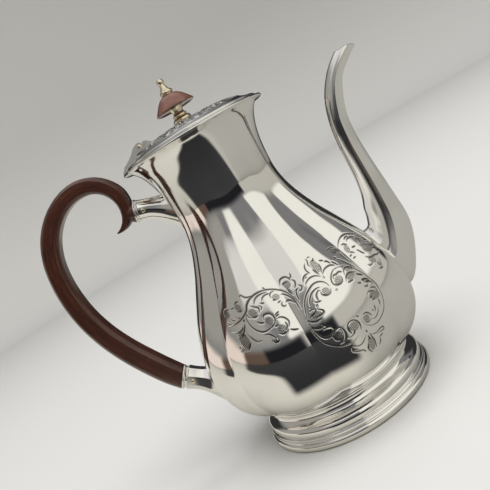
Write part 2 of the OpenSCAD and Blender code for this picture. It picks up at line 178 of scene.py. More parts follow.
def turned(outline, segments=192):
    """Points and faces of a closed outline of radius and height, turned about Z."""
    verts, rows, faces = [], [], []
    angles = np.linspace(0, 2 * math.pi, segments, endpoint=False)
    for r, z in outline:
        if r < 1e-6:
            rows.append([len(verts)] * segments)
            verts.append((0, 0, z))
        else:
            rows.append(list(range(len(verts), len(verts) + segments)))
            verts += [(r * math.cos(a), r * math.sin(a), z) for a in angles]
    for i, row in enumerate(rows):
        after = rows[(i + 1) % len(rows)]
        for j in range(segments):
            corners = (row[j], row[(j + 1) % segments], after[(j + 1) % segments], after[j])
            kept = list(dict.fromkeys(corners))
            if len(kept) > 2:
                faces.append(kept)
    return verts, faces


def along(points, at, direction):
    """Points of a solid about Z, stood along a direction in the XZ plane."""
    t = math.radians(direction)
    p = np.array(points, float)
    side = np.array([math.sin(t), 0, -math.cos(t)])
    ahead = np.array([math.cos(t), 0, math.sin(t)])
    return (np.array([at[0], 0, at[1]]) + p[:, :1] * side + p[:, 1:2] * np.array([0, 1, 0])
            + p[:, 2:3] * ahead)


def step_out(p, direction, distance):
    t = math.radians(direction)
    return [p[0] + distance * math.cos(t), p[1] + distance * math.sin(t)]


def ring(v, section):
    """A ring of a sweep in the XZ plane, from a path row and a section."""
    t = math.radians(v[2])
    s = np.asarray(section, float)
    return np.c_[v[0] + s[:, 0] * v[3] * math.sin(t), s[:, 1] * v[4], v[1] - s[:, 0] * v[3] * math.cos(t)]


def cut_plane(piece, co, normal):
    """Cuts away what lies on the normal's side of a plane, and closes the cut."""
    bm = bmesh.new()
    bm.from_mesh(piece.data)
    cut = bmesh.ops.bisect_plane(bm, geom=bm.verts[:] + bm.edges[:] + bm.faces[:], plane_co=Vector(co) * MM,
                                 plane_no=normal, clear_outer=True, dist=1e-7)
    edges = [e for e in cut["geom_cut"] if isinstance(e, bmesh.types.BMEdge)]
    bmesh.ops.holes_fill(bm, edges=edges, sides=0)
    bm.to_mesh(piece.data)
    bm.free()
    piece.data.set_sharp_from_angle(angle=math.radians(30))


# ---------- Materials ----------

def new_material(name):
    material = bpy.data.materials.new(name)
    material.use_nodes = True
    return material, material.node_tree, material.node_tree.nodes["Principled BSDF"]


def coordinates(tree, scale, layer=None):
    """Object coordinates, or a mesh layer's, stretched by a scale."""
    mapping = tree.nodes.new("ShaderNodeMapping")
    mapping.inputs["Scale"].default_value = scale
    if layer:
        source = tree.nodes.new("ShaderNodeAttribute")
        source.attribute_name = layer
        tree.links.new(source.outputs["Vector"], mapping.inputs["Vector"])
    else:
        source = tree.nodes.new("ShaderNodeTexCoord")
        tree.links.new(source.outputs["Object"], mapping.inputs["Vector"])
    return mapping.outputs["Vector"]


def noise(tree, vector, scale, detail=3.0, distortion=0.0):
    node = tree.nodes.new("ShaderNodeTexNoise")
    node.inputs["Scale"].default_value = scale
    node.inputs["Detail"].default_value = detail
    node.inputs["Distortion"].default_value = distortion
    tree.links.new(vector, node.inputs["Vector"])
    return node.outputs["Fac"]


def ramp(tree, value, stops):
    """A colour ramp; a stop is a position and a grey or a colour."""
    node = tree.nodes.new("ShaderNodeValToRGB")
    elements = node.color_ramp.elements
    while len(elements) < len(stops):
        elements.new(0.5)
    for element, (position, colour) in zip(elements, stops):
        element.position = position
        element.color = (*colour, 1) if isinstance(colour, tuple) else (colour, colour, colour, 1)
    tree.links.new(value, node.inputs["Fac"])
    return node.outputs["Color"]


def mix(tree, factor, a, b):
    node = tree.nodes.new("ShaderNodeMix")
    node.data_type = "RGBA"
    tree.links.new(factor, node.inputs["Factor"])
    for socket, value in (("A", a), ("B", b)):
        target = next(s for s in node.inputs if s.name == socket and s.type == "RGBA")
        if isinstance(value, tuple):
            target.default_value = (*value, 1)
        else:
            tree.links.new(value, target)
    return next(s for s in node.outputs if s.type == "RGBA")


def bump(tree, height, distance, strength=0.5):
    node = tree.nodes.new("ShaderNodeBump")
    node.inputs["Distance"].default_value = distance
    node.inputs["Strength"].default_value = strength
    tree.links.new(height, node.inputs["Height"])
    return node.outputs["Normal"]


def silver(name, colour, shade, polish=(0.035, 0.1), chased=False, metal=1.0):
    """Polished silver: faint wear in its gloss, hairline scratches, and painted shade darkening the chased cuts
    and hatching, which are also left rougher.
    """
    material, tree, shader = new_material(name)
    shader.inputs["Metallic"].default_value = metal
    cloud = noise(tree, coordinates(tree, (1, 1, 1)), 38, 4)
    hair = noise(tree, coordinates(tree, (900, 900, 60)), 1, 2, 0.4)
    tone = mix(tree, ramp(tree, cloud, [(0.35, 0.0), (0.75, 1.0)]), colour, shade)
    gloss = ramp(tree, cloud, [(0.3, polish[0]), (0.7, polish[1])])
    if chased:
        # Painted shade: the chased cuts and hatching are darkened nearly to black, and their gloss is made
        # rougher.
        chased_shade = tree.nodes.new("ShaderNodeAttribute")
        chased_shade.attribute_name = "recess"
        deep = ramp(tree, chased_shade.outputs["Fac"], [(0.05, 0.0), (0.8, 1.0)])
        tone = mix(tree, deep, tone, (0.07, 0.062, 0.048))
        gloss = mix(tree, deep, gloss, (0.4, 0.4, 0.4))
    tree.links.new(tone, shader.inputs["Base Color"])
    tree.links.new(gloss, shader.inputs["Roughness"])
    tree.links.new(bump(tree, hair, 0.00002, 0.25), shader.inputs["Normal"])
    return material


def polished_wood(name, lift, coat):
    """Reddish wood under a hand-rubbed polish. Its grain follows the piece's own grain layer."""
    material, tree, shader = new_material(name)
    shader.inputs["Coat Weight"].default_value = coat[0]
    shader.inputs["Coat Roughness"].default_value = coat[1]
    shader.inputs["IOR"].default_value = 1.48
    streaks = noise(tree, coordinates(tree, (0.05, 0.62, 0.62), "grain"), 1.0, 6, 1.2)
    pores = noise(tree, coordinates(tree, (0.35, 5.5, 5.5), "grain"), 1.0, 3, 0.2)
    dark_pores = ramp(tree, pores, [(0.56, 0.0), (0.68, 1.0)])
    base = ramp(tree, streaks, [(at, tuple(lift * c for c in colour)) for at, colour in (
        (0.3, (0.04, 0.012, 0.007)), (0.5, (0.085, 0.026, 0.014)), (0.72, (0.14, 0.047, 0.026)))])
    tree.links.new(mix(tree, dark_pores, base, (0.02, 0.007, 0.005)), shader.inputs["Base Color"])
    tree.links.new(ramp(tree, streaks, [(0.3, 0.34), (0.7, 0.24)]), shader.inputs["Roughness"])
    tree.links.new(bump(tree, dark_pores, 0.00005, 0.35), shader.inputs["Normal"])
    return material


SILVER = silver("polished silver", (0.93, 0.915, 0.885), (0.89, 0.87, 0.835))
CHASED = silver("chased silver", (0.93, 0.915, 0.885), (0.89, 0.87, 0.835), chased=True)
SPOUT_SILVER = silver("spout silver", (0.93, 0.915, 0.885), (0.89, 0.87, 0.835), polish=(0.15, 0.21))
INNER = silver("inside silver", (0.78, 0.75, 0.69), (0.66, 0.62, 0.55), polish=(0.22, 0.4))
SATIN = silver("satin silver", (0.93, 0.915, 0.88), (0.86, 0.84, 0.79), polish=(0.3, 0.4), metal=0.72)
WARM = silver("warm silver", (0.88, 0.8, 0.62), (0.82, 0.72, 0.5), polish=(0.07, 0.16))
WOOD = polished_wood("polished wood", 0.72, (0.45, 0.1))
CAP_WOOD = polished_wood("polished cap wood", 2.1, (1.0, 0.05))


# ---------- Chased decoration ----------
# Cuts and hatched pads lie on the unrolled belly: millimetres round it from the middle of the lobe
# in front, and millimetres of its surface above the height of 70. A cut is its half width, then the
# x and y of each point it runs through; a pad is its middle, half length, half width and lean.

CARTOUCHE_CUTS = [
    # Left frame
    (0.5, -1, 18.5, -1.5, 21.5, -4, 24, -7.5, 24.5, -11.5, 22.8, -15, 20.3, -18.5, 16, -21.5, 10),
    (0.45, -5, 21, -7.5, 21.5, -10.5, 20.8, -13, 19, -15, 16.5, -16, 14.3),
    (0.4, -6, 19.7, -8, 19.7, -10, 18, -10.7, 15.3), (0.35, -13, 15.7, -11.5, 14.8, -9.6, 14.5),
    (0.35, -6.5, 19.5, -7.2, 17.5, -6.2, 15.8, -4.4, 15, -2.4, 15.5, -1, 17.5),
    (0.4, -21.5, 11, -22.8, 6, -23.3, 2, -23, -1.5, -21.8, -5.5, -19.5, -8.5, -16.5, -11, -13.5, -12.7, -10,
     -13.5, -7, -13.3, -3.5, -12.2), (0.4, -21.2, 9.5, -22.3, 5, -22, 0.5, -20.5, -3.3, -18, -4.9, -15, -4.7),
    (0.4, -22, 9, -20.5, 7, -18, 5.9, -15.2, 6.2), (0.4, -22.2, 5, -21.3, 3.1, -19, 2, -17, 2.1, -16.2, 3.4),
    (0.35, -18.5, 0.4, -16, 0.5, -13.8, -0.2, -13.4, -1.8), (0.35, -17.3, 3.6, -16, 1.8, -15.4, 0.4),
    (0.4, -19.6, 9.6, -17.5, 10, -15.6, 11, -14.8, 12.4), (0.35, -18.2, 11.9, -16.8, 12.8, -15.2, 12.6),
    (0.35, -17.2, 14.1, -15.8, 13.7), (0.4, -14, 11.4, -12.3, 10.1, -12, 8.8, -13.6, 8, -16, 7.5),
    (0.3, -13.9, 12.6, -12.4, 13.9), (0.4, -9.8, -3.2, -11.5, -2.9, -14, -3.6, -15.7, -5.5, -15.2, -8, -13,
     -9.2), (0.4, -9.6, -4, -9.2, -6.8, -10.5, -9.4, -12.5, -10.8, -15, -10.7),
    (0.5, -1, -11, 0, -8.2, -0.2, -5.6, -1.8, -3.8, -4, -3.4, -6, -4.5, -7, -6.6, -6.6, -9),
    (0.4, -9.8, -10.4, -7.6, -10.6, -5.4, -10, -4.4, -8.6), (0.45, 0.8, -2.4, 1.9, -4.2),
    # Right frame
    (0.45, 11.5, 23.8, 7.5, 24.3, 4.5, 23.2, 2.3, 21, 1.6, 18.5, 2.6, 16.7, 4.8, 15.9, 7.2, 16.4, 8.3, 18.2,
     7.6, 20.2), (0.5, 3.4, 20.3, 4.8, 21.9, 6.8, 21.4, 9, 21.6, 11, 20.6),
    (0.35, 11.5, 23.8, 15, 22.4, 18.5, 19.4, 21.5, 15.6, 24.4, 10.6, 26.8, 5, 27.6, 0, 26, -5, 23, -8.9, 19.5,
     -11.4, 15.5, -12.8, 11.5, -13.6, 8, -13.3, 5, -12, 3, -9.8, 2.3, -7.5, 3, -5.6),
    (0.5, 4.4, -4.9, 6.5, -4.9, 8.2, -6, 9.4, -8.4), (0.35, 3.2, -8.6, 5.6, -10.2, 8, -9.4),
    (0.35, 8, -9.6, 10, -10.8, 12.5, -10.5, 15, -9.4, 16.8, -7.4), (0.5, 12.9, -8.4, 14.2, -6.9, 14.6, -5.3),
    (0.35, 11.3, -5.8, 12.2, -7.4), (0.4, 11, 18, 12.6, 20, 15, 20.9, 18, 19.6),
    (0.35, 9, 14.4, 10.5, 16.5, 13, 17.5, 16, 17, 19.4, 15), (0.5, 9.4, 13.6, 11.5, 13.3, 13.8, 12.9),
    (0.5, 18.4, 14, 20.5, 12.5, 22.6, 10.8), (0.4, 14.2, 10.2, 15.8, 9.2, 17.4, 8.8),
    (0.35, 18, 9.5, 20.5, 9.1, 23, 8, 25.2, 6), (0.4, 17.2, 6.4, 18.4, 5.1, 20.8, 4.9),
    (0.4, 20.3, 6.9, 22.6, 6.4, 24.6, 5, 25.8, 2.8), (0.4, 20, 2.8, 22.6, 2.1, 25.4, 0.4),
    (0.35, 14.4, 0.9, 16.8, 2.1, 19.4, 1.5, 22, 0), (0.4, 14.6, -0.6, 17.4, -1.2),
    (0.4, 15.4, -2.6, 18.4, -3.2), (0.5, 18.8, -8.2, 20, -6.6, 20.5, -4.8),
    (0.4, 23.6, -3.4, 24.6, -1.2, 24.4, 1),
    # Top fleur
    (0.45, -2.3, 32, -1.8, 29.5, -1, 27.3), (0.35, 2.6, 33, 2.3, 30, 0.4, 27.2),
    (0.4, -2, 33.4, -2.2, 35.6, -1.2, 37.4, -1.3, 39.2), (0.35, -0.6, 38.7, 0.6, 39, 1.6, 38.3),
    (0.45, 2.5, 37.2, 2, 36.2, 0.8, 35.8), (0.4, -2.9, 37.4, -4.5, 35.5, -5.2, 33, -4.6, 30.6),
    (0.5, -10.8, 28, -9.4, 30, -7.5, 31.2, -5.2, 31.3), (0.3, -9, 29.4, -7.2, 30.1),
    (0.5, -10.8, 26.5, -8.2, 28, -6, 28.5, -3.4, 27.9, -1.1, 25.8), (0.5, 0, 25.8, 2.4, 27.5, 5, 28, 8, 27.5,
     10.2, 26), (0.5, 10, 28.6, 11.3, 27, 12.3, 25.2), (0.5, 4.1, 33.8, 6.2, 32.4),
    (0.5, 6.3, 31.4, 8, 30.5, 8.8, 28.5),
    # Bottom fleur
    (0.5, 2.1, -15.4, 2.7, -18, 3.1, -21, 2.5, -24.8), (0.4, 0.8, -15.3, 0.9, -18.2),
    (0.4, -1.4, -19.6, -2.4, -22, -1.7, -24.3, -0.6, -25.8), (0.5, 1.1, -12.3, 1.5, -13.7),
    (0.35, -9.7, -15.9, -7.5, -17, -5, -17.5, -2.4, -16.6, 0.2, -14.7),
    (0.45, -10.4, -16.3, -10.8, -18, -9.4, -19.3, -7, -20.4, -5.4, -21, -4.4, -22.8),
    (0.4, 2, -15, 4, -17, 7, -17.8, 10, -17.4, 12.4, -18, 12, -19.5, 9, -18.9, 6, -18.7),
    (0.4, 6.6, -21.1, 8.4, -21.1, 10.2, -20.6), (0.45, 7.1, -21.5, 6.5, -23.4, 4.8, -24.8),
]

CARTOUCHE_PADS = [
    (-4.2, 17.8, 2.3, 2.3, 50), (-16, 9.7, 3.2, 1.9, -8), (-12.8, -5.9, 2.4, 2.6, 30),
    (-3.2, -6.8, 2.8, 2.8, 80), (5, 18.4, 2.7, 2.2, 40), (5.4, -7.4, 2.4, 2.2, 50), (13.6, 15.6, 4, 1.8, -12),
    (21.4, 7.4, 3.6, 1.6, -35), (20, -1.6, 5, 2.6, -20), (0.3, 32.6, 4.6, 2.2, 84), (0.5, -21, 4.4, 2.2, -94),
    (17.6, 19, 3, 1.3, -30), (0.9, 14.9, 0.8, 0.8, 0), (-0.3, 24.5, 0.8, 0.8, 0),
]

CREASE_CUTS = [
    (0.5, -21.6, 33.3, -20, 35.5, -18, 36.3, -16, 36, -15.2, 34.5, -15.2, 33),
    (0.5, -14.5, 33, -13.7, 31.4, -14.5, 29.5, -16, 28), (0.45, -12.9, 37, -13.4, 35, -15, 34.1),
    (0.45, -13.5, 28.4, -12.7, 26.8, -13.5, 25.5, -15.2, 24.9), (0.45, -14.8, 26.8, -16.5, 26, -17.8, 23.5,
     -18.6, 20.6), (0.35, -19.6, 30, -19.8, 27.6, -19, 25), (0.35, -20.6, 32.4, -18.8, 33.4, -16.8, 33),
]

CREASE_PADS = [
    (-18, 32.2, 2.6, 2.2, 60), (-19, 28.4, 2, 0.9, 100),
]

SCROLL_CUTS = [
    (0.5, -64, 24.8, -60, 25.1, -56, 25.7, -52, 26.7, -48, 28.5, -45, 30.5, -43, 33, -40, 35.2, -36.5, 36.3,
     -33, 36.4, -30, 35.8, -26.5, 33.8, -23.5, 31, -21.3, 28, -20, 24, -19.5, 20, -20.2, 15.5),
    (0.45, -39.6, 31.3, -38, 33.3, -35.5, 34.7, -32.5, 34.8, -29.6, 34.1),
    (0.5, -24.8, 28.9, -22.8, 27.3, -21.2, 24.5, -20.6, 21, -21.6, 16.4),
    (0.5, -25.4, 23.4, -23.5, 23.5, -22, 22.5, -21.2, 20.6), (0.4, -25.8, 24.4, -27.3, 24.1, -27.8, 22.7,
     -26.7, 21.7, -25.7, 22.2), (0.5, -35.1, 31, -33.5, 32.7, -31.5, 33.2, -29.3, 32.6),
    (0.5, -36.4, 30.5, -34.9, 29.4), (0.4, -29.9, 29.6, -29.4, 31.8, -27.8, 32.7, -26.3, 32.4),
    (0.4, -30.2, 28.1, -28.8, 27.7), (0.45, -29, 25.4, -27.1, 25.6), (0.35, -30.2, 37.7, -29.4, 36.4),
    (0.5, -45.2, 25.9, -43.5, 24.8, -41.8, 25), (0.5, -41.5, 31.8, -39.8, 30, -38.7, 28.5, -39.9, 26.2),
    (0.35, -37.6, 29.8, -37.2, 28, -38.4, 26.9), (0.35, -46.4, 29.6, -46.6, 27.4, -45.8, 25.4),
    (0.45, -47, 28.2, -48.4, 25, -48.5, 21, -47.5, 18, -45.5, 15.8, -43, 15.1, -39.6, 15.4),
    (0.55, -40.6, 21, -39.8, 23, -38, 23.6, -36, 22.7, -35.2, 20.5, -35.6, 18.5, -37.2, 16.6, -39.4, 15.4),
    (0.5, -44.2, 22.2, -43, 20.5, -41.4, 19.8), (0.4, -38.3, 14.9, -36.4, 14.9),
    (0.4, -32.4, 14.6, -32.4, 12.2, -34.2, 10.3), (0.4, -38.7, 11, -37, 9.3, -35, 9.2, -33.3, 9.9),
    (0.4, -34.8, 18.3, -32.6, 18, -30.9, 16.2, -30.4, 13.6, -32, 11.2), (0.4, -34.7, 20.4, -31.8, 21.1),
    (0.4, -34.7, 19.6, -32.6, 19.8), (0.4, -32.5, 9.7, -31, 8.3, -28.8, 7.2),
    (0.4, -45.2, 13.8, -43.2, 12.8, -42, 11, -41.2, 9.2), (0.4, -43.6, 9.2, -43.3, 7.6, -42, 6.9, -40.6, 7.6,
     -40.3, 9.6), (0.4, -64, 21.4, -60, 20.5, -57, 20.5, -54.5, 21.5, -52.8, 22.8),
    (0.5, -61.5, 17.8, -58, 17.5, -56, 18.7, -54, 20.5, -52, 22.5, -51.1, 24), (0.5, -50.9, 25.2, -49.6, 26.2),
    (0.45, -61, 9.4, -58.5, 10, -57, 11, -55.2, 12.7), (0.45, -64.4, 9.8, -62, 10.5, -60.2, 10.9),
    (0.35, -64.2, 11.9, -62.9, 12.7), (0.35, -56, 16.4, -55, 18.4), (0.4, -53, 20.4, -53.2, 17, -52.3, 14, -51,
     12, -48.6, 11.5), (0.5, -62.7, 31.2, -61, 33.8, -58.5, 35, -55.8, 35),
    (0.45, -57.8, 30.2, -57, 28.4, -55.3, 28), (0.4, -53.1, 30, -52, 28.3, -50.8, 28),
    (0.45, -62.8, 27.4, -60.6, 26.4), (0.4, -54.2, 34.8, -50.6, 34.9),
    (0.45, -49.2, 36.4, -47.5, 37.3, -45.8, 37.4), (0.45, -43.5, 39.3, -42, 39.9, -41, 38, -39.5, 37, -37.2,
     36.5), (0.35, -50.4, 33, -49, 31.4, -46.8, 31.8),
]

SCROLL_PADS = [
    (-42.7, 28.2, 2.6, 2.3, 70), (-38.2, 19.8, 2.4, 2.4, 35), (-35.2, 12.6, 2.4, 2.4, 30),
    (-27.4, 29, 2.2, 2.2, 60), (-57.8, 15.2, 5.6, 3.6, 75), (-59.4, 32, 3.2, 2.2, 25),
    (-48, 34.2, 2.4, 2.2, 80), (-42, 8.7, 1, 1, 0),
]

SPRAY_CUTS = [
    (0.5, 23, 30.8, 26, 33.3, 29, 34.8, 32, 35.3, 35, 34.6, 39, 32.3, 42, 29.5, 44.4, 26.8),
    (0.4, 30.4, 32.6, 32.6, 33.4, 35, 33), (0.4, 31, 31, 33.4, 31.9, 36.6, 31.4, 39, 29.6),
    (0.45, 26.2, 31.2, 28.3, 30.8, 29.8, 29.4), (0.45, 25.3, 22.7, 27.2, 22.8),
    (0.4, 27.2, 24.1, 28.8, 24, 29.8, 22.7), (0.4, 26.2, 20.7, 28.5, 20.5), (0.45, 30.7, 26.1, 33.5, 25.6),
    (0.45, 32.4, 23.3, 33.5, 21.8, 34.3, 20, 35.4, 18.8), (0.5, 43.2, 23, 44.8, 21.8, 46.2, 20.1),
    (0.4, 43.8, 17.6, 46.8, 17.3), (0.6, 49.6, 20.2, 48.4, 18.8, 47.6, 15.6),
    (0.4, 48.4, 22.4, 51, 21, 52.4, 18.4, 51.6, 15.4), (0.4, 34, 17, 35.5, 15.5, 38, 14.5, 41, 14, 43.4, 13,
     46.4, 13.2), (0.4, 36.3, 6.6, 38, 6, 40.3, 5.6), (0.35, 41.6, 10.6, 41.8, 8.6, 40.6, 7),
    (0.4, 31.4, 12.4, 33, 11.2, 35.4, 11), (0.4, 40.6, 27.2, 42, 25.6, 41.6, 23.6),
    (0.35, 36.2, 27.6, 38.2, 28.6, 40.2, 28), (0.55, 14.8, 27.6, 17.4, 24.5, 19.3, 21.5, 21.8, 17.4),
    (0.4, 22, 29.4, 21.4, 25.4, 22.6, 20.8), (0.4, 13.2, 35.4, 16, 35.1, 18.5, 34.3, 20.7, 32.9, 22.8, 30.8),
    (0.45, 13.6, 29.6, 15.2, 28.4), (0.45, 18.8, 29.4, 20.4, 28, 20.6, 25.6),
]

SPRAY_PADS = [
    (27.4, 27.2, 2.8, 2, 80), (40, 19.6, 4.6, 3, -25), (36.4, 12.8, 3, 1.8, -40), (17.4, 31.8, 2.6, 2, -10),
    (39, 25.8, 2.2, 1.8, 60), (39, 8.4, 2, 1.4, -60),
]

BELLY_CUTS = CARTOUCHE_CUTS + CREASE_CUTS + SCROLL_CUTS + SPRAY_CUTS
BELLY_PADS = CARTOUCHE_PADS + CREASE_PADS + SCROLL_PADS + SPRAY_PADS

# One of the repeats round the lid: millimetres round it, and from its middle
LID_CUTS = [(0.45, *[v for x, y in points for v in (side * x, y)]) for side in (1, -1) for points in (
    [(6.2, 27.6), (4.6, 29.8), (2, 29), (1.6, 26.4), (3.4, 24.6), (5.4, 25.6), (5, 27.2)],
    [(1.2, 24), (1.8, 20.8), (4.6, 19), (7.6, 20.2), (8, 22.6)], [(7.6, 25.4), (8, 30.4), (5.6, 34.2), (1, 36)],
    [(0.6, 33), (2.6, 34.4), (5, 33.4)], [(6, 36.6), (7.4, 38.4)], [(1, 38.6), (3.6, 37.8), (5.6, 38.6)])]
LID_PADS = [(0, 31.4, 4, 2.2, 90), (0, 37.6, 1.9, 1.7, 90), (0, 21.4, 2.6, 1.6, 90)] + [
    (side * x, y, a, b, 90 + side * lean) for side in (1, -1) for x, y, a, b, lean in (
        (3.6, 26.4, 2.2, 1.7, -40), (5.7, 33.2, 3.2, 1.7, 20), (4.2, 38, 1.8, 1.5, 30),
        (7.4, 37.4, 1.9, 1.2, 0), (6.6, 22.6, 2, 1.4, 50))]


def cut_depth(points, cuts):
    """How far into a cut each point lies, from 0 outside to 1 on its line. Cuts run out thin at both ends."""
    best = np.zeros(len(points))
    for half, *through in cuts:
        line = smooth(np.reshape(through, (-1, 2)), 5)
        share = np.sin(math.pi * np.linspace(0.12, 0.88, len(line)))
        near = np.flatnonzero(((points > line.min(0) - 1.5) & (points < line.max(0) + 1.5)).all(1))
        if not len(near):
            continue
        p, a, d = points[near][:, None], line[:-1][None], np.diff(line, axis=0)[None]
        t = np.clip(((p - a) * d).sum(2) / np.maximum((d * d).sum(2), 1e-9), 0, 1)
        gap = np.linalg.norm(p - a - d * t[..., None], axis=2)
        at = gap.argmin(1)
        width = share[at] * half
        value = np.exp(-(gap[np.arange(len(near)), at] / width) ** 2) * np.minimum(1, width / 0.3)
        best[near] = np.maximum(best[near], value)
    return best


def chased(points, cuts, pads, depth=0.26, pitch=1.05, lift=0.06):
    """Height of the chased work over the plain surface, and its painted shade: dark in the cuts and in the
    furrows of the hatching.
    """
    cut = cut_depth(points, cuts)
    height, hatch_shade = np.zeros(len(points)), np.zeros(len(points))
    for x, y, a, b, lean in pads:
        t = math.radians(lean)
        d = points - np.array([x, y])
        u = d[:, 0] * math.cos(t) + d[:, 1] * math.sin(t)
        v = -d[:, 0] * math.sin(t) + d[:, 1] * math.cos(t)
        inside = np.clip(1 - (u / a) ** 2 - (v / b) ** 2, 0, 1)
        hatch = np.cos(2 * math.pi * (u + 0.6 * np.abs(v)) / pitch)
        height = np.maximum(height, ease(inside * 2.5) * (lift + 0.07 * hatch) * (1 - cut))
        # Painted shade over the hatched pads, darkest in the furrows between the hatching's ridges.
        hatch_shade = np.maximum(hatch_shade, ease(inside * 4) * (0.46 - 0.36 * hatch))
    return height - depth * cut, np.clip(0.85 * cut + hatch_shade * (1 - cut), 0, 1)


# ---------- Body ----------

OUTLINE = smooth(BODY_OUTLINE, 40)
OUTLINE_S = lengths(OUTLINE[:, :2]) - np.interp(70, OUTLINE[:, 0], lengths(OUTLINE[:, :2]))


def body_row(s):
    """Height, mean radius, crease share and softness at a distance along the outline."""
    return [np.interp(s, OUTLINE_S, OUTLINE[:, k]) for k in range(4)]


def row_at(z):
    return [z] + [np.interp(z, OUTLINE[:, 0], OUTLINE[:, k]) for k in (1, 2, 3)]


def body_radius(row, a, thin=0.0):
    soft = row[3]
    lobe = (1 - soft) * np.abs(np.sin(LOBES * a / 2)) + soft * (1 - np.cos(LOBES * a)) / 2
    return row[1] - thin + LOBE_DEPTH * row[2] * (lobe - 0.4)


def ring_points(row, angles, thin=0.0, lift=0.0):
    r = body_radius(row, angles, thin) + lift
    return np.c_[r * np.cos(angles), r * np.sin(angles), np.full(len(angles), row[0])]


def out_of_body(verts, sink, below=math.inf):
    """Moves what runs into the body, below a height, out into its wall."""
    verts = np.array(verts)
    a = np.arctan2(verts[:, 1], verts[:, 0])
    wall = np.array([body_radius(row_at(z), t) for z, t in zip(verts[:, 2], a)]) - sink
    low = (np.hypot(verts[:, 0], verts[:, 1]) < wall) & (verts[:, 2] < below)
    verts[low, 0] = wall[low] * np.cos(a[low])
    verts[low, 1] = wall[low] * np.sin(a[low])
    return verts


CARTOUCHE = math.radians(-67.5)
BAND = (-28.0, 42.0)  # the chased height of the belly, along its surface from the height of 70
HALF_LOBE = math.pi / LOBES
COARSE = 12  # steps round half a lobe
DENSE = 4  # and how many finer ones each is cut into in the chased band
ROWS = 108  # rows of the chased band; below and above it, and inside the body, there are these
LOW_ROWS, TOP_ROWS, INSIDE_ROWS = 22, 76, 90
FLOOR_CURVE = 2.2  # height over which the wall turns in to the floor


def band_angles():
    """Angles round the body, coarse and finer where it is chased, and the fine steps in each coarse one."""
    coarse, fine, share = [], [], []
    for i in range(2 * LOBES):
        start = -math.pi + i * HALF_LOBE
        middle = abs(start + HALF_LOBE / 2)
        count = DENSE if math.radians(22.5) < middle < math.radians(135) else 1
        for j in range(COARSE):
            coarse.append(start + HALF_LOBE * j / COARSE)
            share.append(count)
            fine += [start + HALF_LOBE * (j + k / count) / COARSE for k in range(count)]
    return np.array(coarse), np.array(fine), share


def chased_band(angles, first):
    """Points, painted shade and faces of the chased band. Its grid is halved once more beside every cut."""
    n = len(angles)
    turns = np.r_[angles, angles[0] + 2 * math.pi]
    turns = np.interp(np.arange(2 * n + 1) / 2, np.arange(n + 1), turns)[:-1]
    s = np.linspace(BAND[0], BAND[1], 2 * ROWS + 1)
    rows = [body_row(v) for v in s]
    side = -np.abs((turns + math.pi) % (2 * math.pi) - math.pi)
    flat = np.array([np.c_[(side - CARTOUCHE) * row[1], np.full(2 * n, v)] for v, row in zip(s, rows)])
    corner = flat[1::2, 1::2].reshape(-1, 2)
    wide = [(half * 3.2, *through) for half, *through in BELLY_CUTS]
    close = cut_depth(corner, wide) > 0.02
    for x, y, a, b, _ in BELLY_PADS:
        close |= np.hypot(corner[:, 0] - x, corner[:, 1] - y) < max(a, b)
    close = close.reshape(ROWS, n)
    close[[0, -1]] = False
    used = np.zeros((2 * ROWS + 1, 2 * n), bool)
    used[::2, ::2] = True
    for i, j in zip(*np.nonzero(close)):
        for k in range(3):
            used[2 * i + k, [2 * j, 2 * j + 1, (2 * j + 2) % (2 * n)]] = True
    number = np.full(used.shape, -1)
    number[used] = first + np.arange(used.sum())
    at = np.nonzero(used)
    height, dark = chased(flat[used], BELLY_CUTS, BELLY_PADS)
    edge = ease(np.minimum(at[0], 2 * ROWS - at[0]) / 6)
    verts = np.zeros((len(height), 3))
    for i in range(2 * ROWS + 1):
        mine = at[0] == i
        verts[mine] = ring_points(rows[i], turns[at[1][mine]], 0.0, (height * edge)[mine])
    faces = []
    for i in range(ROWS):
        for j in range(n):
            a, b, c = 2 * j, 2 * j + 1, (2 * j + 2) % (2 * n)
            low, mid, top = number[2 * i], number[2 * i + 1], number[2 * i + 2]
            if close[i, j]:
                faces += [(low[a], low[b], mid[b], mid[a]), (low[b], low[c], mid[c], mid[b]),
                          (mid[a], mid[b], top[b], top[a]), (mid[b], mid[c], top[c], top[b])]
            else:
                corners = (low[a], low[b], low[c], mid[c], top[c], top[b], top[a], mid[a])
                faces.append([int(k) for k in corners if k >= 0])
    return verts, dark * edge, faces, number[0, ::2], number[-1, ::2]


